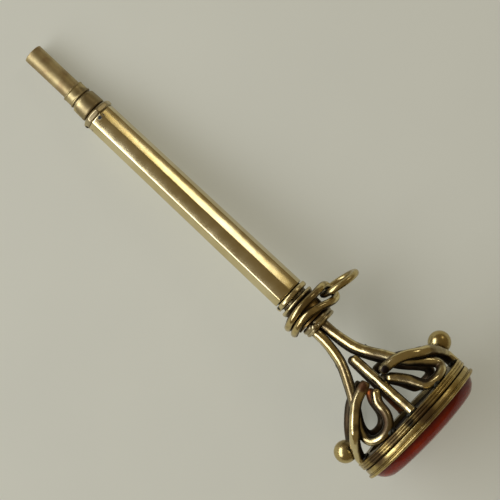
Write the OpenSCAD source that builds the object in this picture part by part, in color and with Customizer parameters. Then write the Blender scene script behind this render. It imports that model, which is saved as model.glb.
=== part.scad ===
// Pocket watch key: a square-socket key pipe that draws out of an octagonal barrel,
// a swivelling wire loop with a folding bail, and an oval fob seal on a wire cage.
// The key is first modelled along +X, from the open end of the pipe (x = 0) to the
// face of the seal, and is then laid on the table as it rests: on the pipe's tip and
// on the rim of the seal's bezel, with the origin under the middle of its box.

/* [Key pipe] */
// Outside diameter of the key pipe
pipe_d = 2.7; // [2.5:0.05:3.0]
// Length of pipe in front of its ring
pipe_reach = 7.15; // [6:0.05:9]
// Width of the square winding socket, across its flats
socket_w = 1.45; // [1.05:0.05:1.6]
// Depth of the winding socket
socket_depth = 5; // [3:0.1:6]
// Diameter of the ring on the pipe
pipe_ring_d = 3.35; // [3.2:0.05:3.6]
// Length of the ring on the pipe
pipe_ring_len = 1.75; // [1.2:0.05:2.4]
// Diameter of the ferrule at its wide end
ferrule_d = 3.7; // [3.5:0.05:4.2]
// Length of the ferrule
ferrule_len = 2.25; // [1.9:0.05:3]

/* [Sliding rod] */
// Width of the square rod that carries the pipe
rod_w = 1.6; // [1.3:0.05:1.7]
// How far the pipe draws out
travel = 14; // [8:0.5:18]
// Length of the piston on the rod's inner end
piston_len = 6; // [4:0.1:7]
// Width of the split friction ring
friction_ring_w = 1.1; // [0.8:0.1:1.6]
// Diameter of the pin through piston and rod
piston_pin_d = 0.6; // [0.4:0.05:0.8]

/* [Barrel] */
// Width of the octagonal barrel across its corners, at its lower end
barrel_across = 4.7; // [4.4:0.05:4.8]
// Width of the barrel across its corners, at its mouth
mouth_across = 4.2; // [4.1:0.05:4.6]
// Length of the barrel
barrel_len = 33.75; // [31:0.05:40]
// Bore of the barrel
barrel_bore = 3.3; // [3.1:0.05:3.4]
// Turn of the barrel's front corner away from straight up
barrel_turn = 5; // [0:1:22]
// Width of the mouth collar across its corners
collar_across = 4.6; // [4.5:0.05:5.4]
// Length of the mouth collar
collar_len = 0.95; // [0.7:0.05:1.4]
// Length of the guide bush behind the collar
bush_len = 4; // [3:0.1:5]
// Diameter of the two pins that hold the bush
bush_pin_d = 0.6; // [0.4:0.05:0.7]

/* [Waist] */
// Diameter of the spindle that joins barrel and seal
spindle_d = 3.1; // [2.8:0.05:3.15]
// Length of the spindle's plug inside the barrel
plug_len = 5; // [3:0.1:6]
// Diameter of the bead below the barrel
lower_ring_d = 5.1; // [4.8:0.05:5.2]
// Length of the lower ring
lower_ring_len = 1.25; // [1:0.05:1.6]
// Diameter of the waist cone
waist_cone_d = 5.2; // [4.8:0.05:5.25]
// Length of the waist cone
waist_cone_len = 0.95; // [0.7:0.05:1.2]
// Length of the swivelling spool
spool_len = 2.4; // [2.2:0.05:3]
// Thickness of the spool's flanges
spool_flange = 0.35; // [0.25:0.05:0.5]
// Diameter of the wire loop's wire
loop_wire_d = 1.05; // [0.9:0.05:1.1]
// Diameter of the neck collar
neck_collar_d = 4.8; // [4.5:0.05:5.2]
// Length of the neck collar
neck_collar_len = 1.27; // [1.2:0.01:1.6]
// Diameter of the rivet's round head in the neck collar
rivet_head_d = 1.05; // [0.8:0.05:1.15]

/* [Bail] */
// Outside diameter of the bail ring
bail_d = 6; // [5.7:0.05:6.6]
// Diameter of the bail's wire
bail_wire_d = 0.9; // [0.7:0.05:0.95]
// Lean of the bail towards the seal
bail_lean = 12; // [5:1:18]
// Turn of the bail that shows both its halves from above
bail_turn = 8; // [0:1:8]
// How far the bail swings to each side
bail_swing = 40; // [20:1:40]

/* [Cage] */
// Length of the wire cage between neck and seal
cage_len = 15.65; // [14:0.05:19]
// Diameter of the scroll stems' wire
stem_wire_d = 1.35; // [1.2:0.05:1.5]
// Diameter of the braces' wire
brace_wire_d = 1.4; // [1.2:0.05:1.5]
// Diameter of the front and back pillars
pillar_d = 1.3; // [1.2:0.05:1.6]
// Length of the pillars along the key's axis
pillar_len = 10.2; // [9:0.1:11]
// Diameter of the balls at the seal's ends
ball_d = 3.05; // [2.6:0.05:3.4]
// How far the balls' centres lie inside the seal's ends
ball_in = 0.3; // [0.1:0.05:0.8]
// Width of the back scrolls as a share of the front ones
back_share = 0.9; // [0.8:0.01:1]

/* [Seal] */
// How far cage and seal sit to the left of the barrel's axis
seal_aside = 0.5; // [0:0.05:0.6]
// Long width of the seal's bezel
seal_w = 19.2; // [18:0.1:21]
// Short width of the seal's bezel
seal_h = 15.7; // [15:0.1:17]
// Radius of the narrow ends of the bezel's oval
seal_end_r = 6.2; // [5.6:0.1:6.6]
// Length of the moulded gallery that carries the cage
gallery_len = 1.05; // [0.9:0.01:1.5]
// Length of the bezel
bezel_len = 1.4; // [1.35:0.05:2.2]
// Depth to which the stone sits in the bezel
stone_seat = 0.75; // [0.5:0.05:1]
// Height of the stone that stands out of the bezel
stone_out = 1.95; // [1.4:0.05:2.4]
// Height of the stone's bevel
stone_bevel = 1.2; // [0.6:0.05:1.2]
// Long width of the stone's flat face
face_w = 12; // [10:0.1:13]
// Thickness of the plate that closes the seal behind the stone
plate_t = 0.5; // [0.3:0.05:0.6]

/* [Fits] */
// Running clearance to each side of a piece that slides or turns
run_gap = 0.05; // [0.03:0.01:0.08]
// Gap that solder fills to each side of a fixed piece
solder_gap = 0.02; // [0.01:0.01:0.03]
// Gap between the closed slide and the collar, and beside the spool
end_gap = 0.12; // [0.08:0.01:0.2]
// Gap between wires that lie side by side
wire_gap = 0.06; // [0.04:0.01:0.1]

/* [Hidden] */
$fn = 64;
gold = [0.72, 0.62, 0.34];
old_gold = [0.58, 0.49, 0.27];
steel = [0.62, 0.63, 0.65];
carnelian = [0.49, 0.09, 0.06];
// How far a large cutter reaches, and how far a small one runs past the piece it cuts
far = 40;
past = 1;

// Places along the key's axis; the pipe runs into the ferrule by its lap
pipe_lap = 0.8;
ring_x = pipe_reach;
ferrule_x = ring_x + pipe_ring_len;
rod_x = ferrule_x + pipe_lap + 0.1;
collar_x = ferrule_x + ferrule_len + end_gap;
barrel_x = collar_x + collar_len;
bush_pin_x = barrel_x + 0.5;
bush_end_x = barrel_x + bush_len;
piston_x = bush_end_x + travel + end_gap;
friction_ring_x = piston_x + 1.2;
piston_pin_x = piston_x + piston_len - 1.5;
barrel_end_x = barrel_x + barrel_len;
plug_x = barrel_end_x - plug_len;
cone_x = barrel_end_x + lower_ring_len;
spool_x = cone_x + waist_cone_len + run_gap;
neck_x = spool_x + spool_len + run_gap;
rivet_x = neck_x + neck_collar_len / 2 + 0.02;
cage_x = neck_x + neck_collar_len;
gallery_x = cage_x + cage_len;
bezel_x = gallery_x + gallery_len;
rim_x = bezel_x + bezel_len;
stone_x = rim_x - stone_seat;
face_x = rim_x + stone_out;

// Sizes that several pieces share
piston_d = barrel_bore - 2 * run_gap;
ring_bore = spindle_d + 2 * solder_gap;
spool_r = waist_cone_d / 2 + run_gap;
spool_waist_r = spindle_d / 2 + 0.38;

// The oval: four arcs about fixed centres, so every moulding is a parallel oval
oval_a = seal_w / 2;
oval_b = seal_h / 2;
end_c = oval_a - seal_end_r;
side_c = (pow(end_c, 2) - pow(oval_b - seal_end_r, 2)) / (2 * (oval_b - seal_end_r));
side_r = oval_b + side_c;
arc_half = atan2(side_c, end_c);
face_inset = (seal_w - face_w) / 2;
gallery_inset = 0.15;
stone_inset = 0.75;
frame_w = 2.15;
plate_lap = 1.1;

// How the key lies: the pipe's tip and the bezel's lip both touch the table
bezel_lip = 0.15;
lip_x = rim_x - bezel_lip;
tilt = atan((oval_b - pipe_d / 2) / lip_x);
rest_z = pipe_d / 2 * cos(tilt);
box_low_x = -pipe_d / 2 * sin(tilt);
box_high_x = face_x * cos(tilt) + (oval_b - face_inset) * sin(tilt);
mid_x = (box_low_x + box_high_x) / 2;

// Lays the key on the table, with the seal's middle over the X axis
module laid() {
    translate([-mid_x, seal_aside, rest_z]) rotate([0, -tilt, 0]) children();
}

// Sets a piece of the cage or the seal beside the barrel's axis
module aside() {
    laid() translate([0, -seal_aside, 0]) children();
}

// Turns a piece made along +Z so that it runs along the key's axis, from x
module axial(x) {
    translate([x, 0, 0]) rotate([0, 90, 0]) children();
}

// A turned piece: radius and height pairs, from x
module turned(x, outline) {
    axial(x) rotate_extrude() polygon(outline);
}

module bore(x, d, len) {
    axial(x) cylinder(d = d, h = len);
}

module square_bar(x, w, len) {
    axial(x) translate([-w / 2, -w / 2, 0]) cube([w, w, len]);
}

// A pin that stands on the axis, turned about it from straight up
module radial_pin(x, turn, d, low, high) {
    translate([x, 0, 0]) rotate([turn, 0, 0]) translate([0, 0, low])
        cylinder(d = d, h = high - low, $fn = 32);
}

// Oval helpers: a flat oval disc, and a moulding swept round the oval
module oval_disc(inset) {
    for (side = [0, 180]) rotate(side) {
        translate([0, end_c]) circle(seal_end_r - inset);
        intersection() {
            translate([-side_c, 0]) circle(side_r - inset);
            translate([-side_c, 0]) polygon([[0, 0], far * [side_c, end_c], far * [side_c, -end_c]]);
        }
    }
}

// The middle of a moulding: a plain oval band that joins its four swept arcs
module oval_band(x, outer, inner, len) {
    axial(x) linear_extrude(len) difference() {
        oval_disc(outer);
        oval_disc(inner);
    }
}

module oval_moulding(x, outline) {
    end_arc = 2 * arc_half;
    side_arc = 180 - end_arc;
    axial(x) for (side = [0, 180]) rotate(side) {
        translate([0, end_c]) rotate(90 - arc_half)
            rotate_extrude(angle = end_arc) translate([seal_end_r, 0]) polygon(outline);
        translate([-side_c, 0]) rotate(-side_arc / 2)
            rotate_extrude(angle = side_arc) translate([side_r, 0]) polygon(outline);
    }
}

// Wire helpers: a smooth curve through chosen points, and a tube swept along it
function unit(v) = v / norm(v);
function spline_at(a, b, c, d, k) =
    0.5 * (2 * b + (c - a) * k + (2 * a - 5 * b + 4 * c - d) * k * k + (3 * b - a - 3 * c + d) * k * k * k);
function spline(p, steps) = [
    for (i = [0 : len(p) - 2]) for (k = [0 : steps - 1])
        spline_at(p[max(i - 1, 0)], p[i], p[i + 1], p[min(i + 2, len(p) - 1)], k / steps),
    p[len(p) - 1],
];
function heading(p, i, first, last) =
    i == 0 ? (is_undef(first) ? unit(p[1] - p[0]) : first)
    : i == len(p) - 1 ? (is_undef(last) ? unit(p[i] - p[i - 1]) : last)
    : unit(p[i + 1] - p[i - 1]);
function ring_points(centre, along, up, r, sides) =
    let (u = unit(up - (up * along) * along), v = cross(along, u))
    [for (j = [0 : sides - 1]) centre + r * (cos(360 * j / sides) * u + sin(360 * j / sides) * v)];
dome_steps = [78, 52, 26];
function dome_rings(centre, along, up, r, way, steps, sides) = [
    for (a = steps) ring_points(centre + way * r * sin(a) * along, along, up, r * cos(a), sides),
];

module tube(p, d, ups, first = undef, last = undef, dome_first = false, dome_last = false, sides = 10) {
    n = len(p);
    r = d / 2;
    t = [for (i = [0 : n - 1]) heading(p, i, first, last)];
    last_steps = [for (k = [len(dome_steps) - 1 : -1 : 0]) dome_steps[k]];
    rings = concat(
        dome_first ? dome_rings(p[0], t[0], ups[0], r, -1, dome_steps, sides) : [],
        [for (i = [0 : n - 1]) ring_points(p[i], t[i], ups[i], r, sides)],
        dome_last ? dome_rings(p[n - 1], t[n - 1], ups[n - 1], r, 1, last_steps, sides) : []
    );
    count = len(rings);
    end = (count - 1) * sides;
    polyhedron(
        points = [for (r = rings) for (q = r) q],
        faces = concat(
            [for (i = [0 : count - 2]) for (j = [0 : sides - 1])
                let (a = i * sides + j, b = i * sides + (j + 1) % sides)
                each [[a, a + sides, b + sides], [a, b + sides, b]]],
            [for (j = [1 : sides - 2]) [0, j, j + 1]],
            [for (j = [1 : sides - 2]) [end, end + j + 1, end + j]]
        )
    );
}

// Key pipe and slide
module key_pipe() {
    r = pipe_d / 2;
    chamfer = 0.12;
    color(gold) laid() difference() {
        turned(0, [
            [0, 0], [r - chamfer, 0], [r, chamfer], [r, ferrule_x + pipe_lap], [0, ferrule_x + pipe_lap],
        ]);
        square_bar(-past, socket_w, socket_depth + past);
    }
}

module pipe_ring() {
    r = pipe_ring_d / 2;
    inner = pipe_d / 2 + solder_gap;
    lip = 0.3;
    groove = 0.15;
    bead = pipe_ring_len - groove;
    color(gold) laid() turned(ring_x, [
        [inner, 0], [r - 0.14, 0], [r - 0.07, 0.12], [r - 0.1, 0.3], [r - 0.1, bead - lip],
        [r, bead - lip + 0.1], [r, bead - 0.06], [r - 0.06, bead], [r - 0.2, bead], [r - 0.2, pipe_ring_len],
        [inner, pipe_ring_len],
    ]);
}

module ferrule() {
    r = ferrule_d / 2;
    throat = 0.2;
    color(gold) laid() difference() {
        turned(ferrule_x, [
            [0, 0], [r - 0.25, 0], [r - 0.25, throat], [r - 0.12, throat], [r - 0.08, throat + 0.08],
            [r, ferrule_len - 0.3], [r, ferrule_len - 0.1], [r - 0.1, ferrule_len], [0, ferrule_len],
        ]);
        bore(ferrule_x - past, pipe_d + 2 * solder_gap, pipe_lap + past);
        square_bar(rod_x, rod_w + 2 * solder_gap, ferrule_len);
    }
}
module slide_rod() {
    color(steel) laid() difference() {
        square_bar(rod_x, rod_w, piston_x + piston_len - rod_x);
        radial_pin(piston_pin_x, 0, piston_pin_d + 2 * solder_gap, -far, far);
    }
}

module slide_piston() {
    r = piston_d / 2;
    floor_r = r - 0.3;
    near = friction_ring_x - piston_x;
    wide = near + friction_ring_w + 2 * solder_gap;
    color(gold) laid() difference() {
        turned(piston_x, [
            [0, 0], [r - 0.1, 0], [r, 0.1], [r, near], [floor_r, near], [floor_r, wide], [r, wide],
            [r, piston_len - 0.1], [r - 0.1, piston_len], [0, piston_len],
        ]);
        square_bar(piston_x - past, rod_w + 2 * solder_gap, piston_len + 2 * past);
        radial_pin(piston_pin_x, 0, piston_pin_d + 2 * solder_gap, -far, far);
    }
}

module piston_pin() {
    reach = piston_d / 2 - 0.1;
    color(steel) laid() radial_pin(piston_pin_x, 0, piston_pin_d, -reach, reach);
}

module friction_ring() {
    split = 0.6;
    color(steel) laid() difference() {
        bore(friction_ring_x + solder_gap, barrel_bore - 2 * solder_gap, friction_ring_w);
        bore(friction_ring_x - past, piston_d - 0.5, friction_ring_w + 2 * past);
        translate([friction_ring_x - past, -split / 2, 0])
            cube([friction_ring_w + 2 * past, split, barrel_bore]);
    }
}

// Barrel and its mouth
bush_pin_turns = [-barrel_turn, 90 - barrel_turn];

module bush_pin_holes() {
    for (turn = bush_pin_turns) radial_pin(bush_pin_x, turn, bush_pin_d + 2 * solder_gap, 0, far);
}

// An octagonal bar whose width across its corners goes from first to last
module octagon(x, first, last, len) {
    flat = cos(22.5) / 2;
    slope = atan((last - first) * flat / len);
    axial(x) rotate(-barrel_turn) difference() {
        cylinder(d = max(first, last), h = len, $fn = 8);
        if (first != last) for (k = [0 : 7])
            rotate(22.5 + 45 * k) translate([first * flat, 0, 0]) rotate([0, slope, 0])
                translate([0, -far / 2, -past]) cube([far, far, len + 2 * past]);
    }
}

module barrel() {
    color(gold) laid() difference() {
        octagon(barrel_x, mouth_across, barrel_across, barrel_len);
        bore(barrel_x - past, barrel_bore, barrel_len + 2 * past);
        bush_pin_holes();
    }
}

module mouth_collar() {
    flat_r = collar_across / 2 * cos(22.5);
    wide_r = collar_across / 2 + 0.1;
    color(gold) laid() difference() {
        intersection() {
            octagon(collar_x, collar_across, collar_across, collar_len);
            turned(collar_x, [
                [0, 0], [flat_r - 0.25, 0], [wide_r, 0.42], [wide_r, collar_len - 0.24],
                [flat_r - 0.05, collar_len], [0, collar_len],
            ]);
        }
        bore(collar_x - past, rod_w * sqrt(2) + 4 * run_gap, collar_len + 2 * past);
    }
}

module guide_bush() {
    color(old_gold) laid() difference() {
        bore(barrel_x, barrel_bore - 2 * solder_gap, bush_len);
        square_bar(barrel_x - past, rod_w + 2 * run_gap, bush_len + 2 * past);
        bush_pin_holes();
    }
}

module bush_pins() {
    low = rod_w / 2 + 3 * run_gap;
    color(steel) laid() for (turn = bush_pin_turns)
        radial_pin(bush_pin_x, turn, bush_pin_d, low, mouth_across / 2 - 0.03);
}

// Waist: the rings below the barrel, the spindle through them and the neck collar
module lower_ring() {
    r = lower_ring_d / 2;
    neck = 0.35;
    bead = lower_ring_len - neck;
    color(gold) laid() turned(barrel_end_x, [
        [ring_bore / 2, 0], [r - 0.35, 0], [r - 0.35, 0.1], [r - 0.12, 0.14], [r, 0.3], [r, bead - 0.16],
        [r - 0.12, bead], [r - 0.5, bead], [r - 0.5, lower_ring_len], [ring_bore / 2, lower_ring_len],
    ]);
}

module waist_cone() {
    r = waist_cone_d / 2;
    color(gold) laid() turned(cone_x, [
        [ring_bore / 2, 0], [r - 0.15, 0], [r, 0.12], [r, 0.32], [r - 0.35, waist_cone_len],
        [ring_bore / 2, waist_cone_len],
    ]);
}

module spindle() {
    shaft = spindle_d / 2;
    plug = barrel_bore / 2 - solder_gap;
    color(old_gold) laid() difference() {
        turned(plug_x, [[0, 0], [plug - 0.1, 0], [plug, 0.1], [plug, plug_len], [shaft, plug_len],
            [shaft, cage_x - plug_x], [0, cage_x - plug_x]]);
        rivet_hole();
    }
}

rivet_turn = 25;
rivet_shank_d = 0.6;
rivet_low = 0.7;
rivet_seat = neck_collar_d / 2 - 0.16;

module rivet_hole() {
    radial_pin(rivet_x, rivet_turn, rivet_shank_d + 2 * solder_gap, rivet_low, far);
}

module neck_collar() {
    r = neck_collar_d / 2;
    len = neck_collar_len;
    color(gold) laid() difference() {
        turned(neck_x, [
            [ring_bore / 2, 0], [r - 0.3, 0], [r - 0.1, 0.1], [r, 0.3], [r, 0.55], [r - 0.1, 0.68],
            [r - 0.1, 0.78], [r - 0.05, 0.85], [r - 0.05, len - 0.2], [r - 0.25, len], [ring_bore / 2, len],
        ]);
        rivet_hole();
        radial_pin(rivet_x, rivet_turn, rivet_head_d + 4 * solder_gap, rivet_seat, far);
    }
}

module neck_rivet() {
    head_r = rivet_head_d / 2;
    color(gold) laid() {
        radial_pin(rivet_x, rivet_turn, rivet_shank_d, rivet_low + solder_gap, rivet_seat + 0.1);
        translate([rivet_x, 0, 0]) rotate([rivet_turn, 0, 0]) translate([0, 0, rivet_seat]) intersection() {
            sphere(head_r, $fn = 48);
            cylinder(r = head_r, h = head_r, $fn = 48);
        }
    }
}

// Swivel: a spool that turns on the spindle, and the wire loop on its flanges
module swivel_spool() {
    inner = spindle_d / 2 + run_gap;
    color(old_gold) laid() turned(spool_x, [
        [inner, 0], [spool_r, 0], [spool_r, spool_flange], [spool_waist_r, spool_flange + 0.1],
        [spool_waist_r, spool_len - spool_flange - 0.1], [spool_r, spool_len - spool_flange],
        [spool_r, spool_len], [inner, spool_len],
    ]);
}

// The loop's two legs run round the spool from the eye on the bail's side. The phase runs
// from one leg's end, at loop_end, through the eye at 180 degrees to the other leg's end,
// and the turn about the spindle follows from it: 0 at the eye, 180 on the far side.
loop_r = spool_r + loop_wire_d / 2 + run_gap;
eye_out = 0.9;
eye_rise = 0.3;
eye_r = loop_r + eye_out;
loop_end = 50;
loop_span = 360 - 2 * loop_end;
loop_rings = 60;
loop_shift = -0.25;
loop_wave = 0.37;
loop_skew = 0.15;
loop_climb = 0.275;
leg_pitch = loop_wire_d + wire_gap;
leg_spread = 6;
leg_fall = 3.8;
function loop_phase(i) = loop_end + loop_span * i / loop_rings;
function loop_turn(phase) = 180 + 180 * cos(phase);
function loop_reach(turn) = let (side = max(cos(turn), 0))
    loop_r + eye_rise * pow(side, 2) + (eye_out - eye_rise) * pow(side, 8);
function loop_mid(turn) = spool_x + spool_len / 2 + loop_shift
    + loop_wave * cos(2 * turn) + loop_skew * sin(2 * turn) + loop_climb * sin(turn);
function loop_point(phase) = let (turn = loop_turn(phase), r = loop_reach(turn)) [
    loop_mid(turn) + sin(phase) / 2 * (leg_pitch + leg_spread * pow(abs(cos(phase)), leg_fall)),
    r * cos(turn),
    r * sin(turn),
];
loop_phases = [for (i = [0 : loop_rings]) loop_phase(i)];
loop_path = [for (phase = loop_phases) loop_point(phase)];
loop_ups = [for (phase = loop_phases) let (turn = loop_turn(phase)) [0, cos(turn), sin(turn)]];

module swivel_loop() {
    color(gold) laid() tube(loop_path, loop_wire_d, loop_ups, dome_first = true, dome_last = true, sides = 8);
}

// Bail: a round ring through the loop's eye; it swings in its own plane about the eye
bail_mid_r = (bail_d - bail_wire_d) / 2;
bail_sag = 0.02;
bail_slack = 0.2;
eye_point = [loop_mid(0) + bail_sag, eye_r, 0];
bail_offset = bail_mid_r - (loop_wire_d + bail_wire_d) / 2 - bail_slack;

module bail_frame() {
    translate(eye_point) rotate([0, bail_turn, 0]) rotate([0, 0, -bail_lean]) children();
}

module bail_ring() {
    color(gold) laid() bail_frame() translate([0, bail_offset, 0]) rotate([0, 90, 0])
        rotate_extrude() translate([bail_mid_r, 0]) circle(d = bail_wire_d, $fn = 32);
}

// Cage: stems and pillars lie on one surface that widens from the neck to the oval
foot_gap = 0.05;
neck_off = (stem_wire_d + wire_gap) / 2;
foot_a = oval_a - gallery_inset - brace_wire_d / 2 - foot_gap;
foot_b = oval_b - gallery_inset - pillar_d / 2 - foot_gap;
ease = 0.1;
function lean(x) = let (k = max(0, (x - cage_x) / cage_len))
    neck_off + (foot_b - neck_off) * k * k * (1 + ease) / (k + ease);
function cage_z(x, y) = lean(x) * sqrt(max(0, 1 - pow(y / foot_a, 2)));
function on_cage(x, y, lift = 0) = [x, y, cage_z(x, y) + lift];

// Stem outlines: shares of the stem's run and of the cage's half width, from the neck
// round the scroll to the inner leg. The two sides were bent by hand and differ a little.
stem_right_outline = [
    [0.050, 0.083], [0.150, 0.092], [0.293, 0.128], [0.378, 0.177], [0.462, 0.247], [0.545, 0.331],
    [0.629, 0.404], [0.712, 0.484], [0.780, 0.578], [0.850, 0.693], [0.887, 0.747], [0.926, 0.783],
    [0.963, 0.781], [0.990, 0.735], [1.000, 0.661], [1.000, 0.577], [0.977, 0.436], [0.940, 0.390],
    [0.890, 0.350], [0.845, 0.314], [0.775, 0.235],
];
stem_left_outline = [
    [0.050, 0.083], [0.150, 0.098], [0.293, 0.146], [0.376, 0.199], [0.460, 0.273], [0.543, 0.359],
    [0.626, 0.449], [0.709, 0.545], [0.793, 0.643], [0.834, 0.684], [0.876, 0.716], [0.918, 0.728],
    [0.958, 0.712], [0.985, 0.658], [0.998, 0.587], [1.000, 0.509], [0.990, 0.431], [0.963, 0.357],
    [0.928, 0.308], [0.883, 0.273], [0.786, 0.240],
];
stem_run = cage_len - stem_wire_d / 2;
stem_stop_share = 0.72;
stem_stop = (pillar_d + stem_wire_d) / 2 + wire_gap;
stem_steps = 3;
function stem_path(outline, share) = spline([
    on_cage(cage_x, neck_off),
    for (q = outline) on_cage(cage_x + q.x * stem_run, max(q.y * foot_a * share, neck_off)),
    on_cage(cage_x + stem_stop_share * stem_run, stem_stop),
], stem_steps);

module stem(outline, side, face, share) {
    path = [for (q = stem_path(outline, share)) [q.x, q.y * side, q.z * face]];
    ups = [for (q = path) [0, 0, face]];
    color(gold) aside() tube(path, stem_wire_d, ups, first = [1, 0, 0], dome_last = true);
}
module stem_front_right() { stem(stem_right_outline, 1, 1, 1); }
module stem_front_left() { stem(stem_left_outline, -1, 1, 1); }
module stem_back_right() { stem(stem_right_outline, 1, -1, back_share); }
module stem_back_left() { stem(stem_left_outline, -1, -1, back_share); }

// Brace outlines: shares of length and half width, and the lift over the stems' surface
// as a share of the two wires' pitch; each brace crosses the scroll and comes down beside it
brace_right_outline = [
    [0.599, 0.180, 0.85], [0.604, 0.275, 0.91], [0.612, 0.362, 1.03], [0.629, 0.450, 1.12],
    [0.654, 0.537, 1.17], [0.687, 0.625, 1.20], [0.724, 0.714, 1.14], [0.762, 0.827, 0.97],
    [0.806, 0.896, 0.64], [0.852, 0.945, 0.29], [0.905, 0.981, 0.07], [0.955, 0.990, 0.00],
    [1.000, 0.992, 0.00],
];
brace_left_outline = [
    [0.579, 0.217, 0.82], [0.594, 0.319, 0.91], [0.614, 0.420, 1.02], [0.646, 0.520, 1.18],
    [0.690, 0.622, 1.36], [0.739, 0.721, 1.51], [0.789, 0.810, 1.47], [0.840, 0.889, 1.11],
    [0.893, 0.941, 0.43], [0.947, 0.977, 0.00], [1.000, 0.990, 0.00],
];
brace_pitch = (stem_wire_d + brace_wire_d) / 2 + wire_gap;
brace_steps = 3;
function brace_path(outline) = spline([for (q = outline)
    on_cage(cage_x + q.x * cage_len, q.y * foot_a, q.z * brace_pitch)], brace_steps);

module brace(outline, side, face) {
    path = [for (q = brace_path(outline)) [q.x, q.y * side, q.z * face]];
    ups = [for (q = path) [0, 0, face]];
    color(gold) aside() tube(path, brace_wire_d, ups, last = [1, 0, 0], dome_first = true);
}
module brace_front_right() { brace(brace_right_outline, 1, 1); }
module brace_front_left() { brace(brace_left_outline, -1, 1); }
module brace_back_right() { brace(brace_right_outline, 1, -1); }
module brace_back_left() { brace(brace_left_outline, -1, -1); }

// Pillar: a straight round rod, domed at its free end and cut flat on the gallery
pillar_top_x = gallery_x - pillar_len + pillar_d / 2;
pillar_top = [pillar_top_x, 0, lean(pillar_top_x)];
pillar_foot = [gallery_x, 0, foot_b];
pillar_lean = atan2(pillar_foot.z - pillar_top.z, pillar_foot.x - pillar_top.x);

module pillar(face) {
    color(gold) aside() intersection() {
        translate([pillar_top.x, 0, face * pillar_top.z]) rotate([0, 90 - face * pillar_lean, 0]) union() {
            cylinder(d = pillar_d, h = 2 * pillar_len);
            sphere(d = pillar_d);
        }
        translate([0, -far, -far]) cube([gallery_x, 2 * far, 2 * far]);
    }
}
module pillar_front() { pillar(1); }
module pillar_back() { pillar(-1); }

// Balls: each lies in the fork of the front and back braces, as near the seal as it can
ball_y = oval_a - ball_in;
ball_reach = (ball_d + brace_wire_d) / 2 + 0.01;
function fork_seat(q) = let (off = pow(q.y - ball_y, 2) + pow(q.z, 2))
    off < pow(ball_reach, 2) ? q.x - sqrt(pow(ball_reach, 2) - off) : gallery_x;
function ball_x(outline) = min([for (q = spline(brace_path(outline), brace_steps)) fork_seat(q)]);

module ball(outline, side) {
    color(gold) aside() translate([ball_x(outline), side * ball_y, 0]) sphere(d = ball_d);
}
module ball_right() { ball(brace_right_outline, 1); }
module ball_left() { ball(brace_left_outline, -1); }

// Seal: gallery, plate, bezel and stone, all parallel ovals
module gallery() {
    out = -gallery_inset;
    in = out - frame_w;
    lap = out - plate_lap;
    dip = 0.12;
    step = gallery_len / 10;
    seat = gallery_len - plate_t;
    color(gold) aside() {
        oval_band(gallery_x, gallery_inset + 0.3, gallery_inset + plate_lap - 0.1, gallery_len);
        oval_moulding(gallery_x, [
            [in, 0], [out - dip, 0], [out, step], [out, 2 * step], [out - dip, 3 * step], [out, 4 * step],
            [out, 5.6 * step], [out - dip, 6.4 * step], [out, 7.2 * step], [out, 9 * step],
            [out - dip, gallery_len], [lap, gallery_len], [lap, seat], [in, seat],
        ]);
    }
}

module base_plate() {
    color(old_gold) aside() axial(bezel_x - plate_t)
        linear_extrude(plate_t) oval_disc(gallery_inset + plate_lap + solder_gap);
}

module bezel() {
    len = bezel_len;
    seat = len - stone_seat;
    rim = -stone_inset;
    color(gold) aside() oval_band(bezel_x, 0.65, stone_inset + 0.6, seat);
    color(gold) aside() oval_moulding(bezel_x, [
        [-gallery_inset - frame_w, 0], [-0.55, 0], [-0.55, 0.2], [-0.2, 0.2], [-0.3, 0.35], [-0.42, 0.6],
        [-0.42, len - 0.75], [-0.28, len - 0.5], [0, len - 0.4], [0, len - bezel_lip], [-0.12, len],
        [rim + solder_gap, len], [rim + solder_gap, seat], [-gallery_inset - frame_w, seat],
    ]);
}

module seal_stone() {
    depth = stone_seat + stone_out;
    core = face_inset + 0.5;
    color(carnelian) aside() {
        axial(stone_x) linear_extrude(depth) oval_disc(core);
        oval_moulding(stone_x, [
            [-core - 0.5, 0], [-stone_inset - 0.1, 0], [-stone_inset, 0.1],
            [-stone_inset, depth - stone_bevel], [-face_inset, depth], [-core - 0.5, depth],
        ]);
    }
}

key_pipe();
pipe_ring();
ferrule();
slide_rod();
slide_piston();
piston_pin();
friction_ring();
barrel();
mouth_collar();
guide_bush();
bush_pins();
lower_ring();
waist_cone();
spindle();
neck_collar();
neck_rivet();
swivel_spool();
swivel_loop();
bail_ring();
stem_front_right();
stem_front_left();
stem_back_right();
stem_back_left();
brace_front_right();
brace_front_left();
brace_back_right();
brace_back_left();
pillar_front();
pillar_back();
ball_right();
ball_left();
gallery();
base_plate();
bezel();
seal_stone();
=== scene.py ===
from functools import partial

import bpy
import numpy as np
from mathutils import Matrix, Vector


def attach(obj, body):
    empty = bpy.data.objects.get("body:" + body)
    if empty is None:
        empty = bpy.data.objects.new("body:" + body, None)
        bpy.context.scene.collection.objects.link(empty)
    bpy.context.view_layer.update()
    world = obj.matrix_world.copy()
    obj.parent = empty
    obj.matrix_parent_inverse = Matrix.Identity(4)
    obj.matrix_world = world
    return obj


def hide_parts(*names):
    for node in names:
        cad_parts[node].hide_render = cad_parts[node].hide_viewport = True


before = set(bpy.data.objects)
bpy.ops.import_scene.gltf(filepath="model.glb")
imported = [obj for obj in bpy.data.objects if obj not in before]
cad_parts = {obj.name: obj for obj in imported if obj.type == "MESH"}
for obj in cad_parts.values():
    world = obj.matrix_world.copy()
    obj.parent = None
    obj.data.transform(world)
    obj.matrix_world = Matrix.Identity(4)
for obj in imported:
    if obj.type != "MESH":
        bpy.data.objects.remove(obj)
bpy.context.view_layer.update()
print("watch key: frame loaded,", len(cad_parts), "nodes")

scene = bpy.context.scene
scene.view_settings.view_transform = "Standard"

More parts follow.
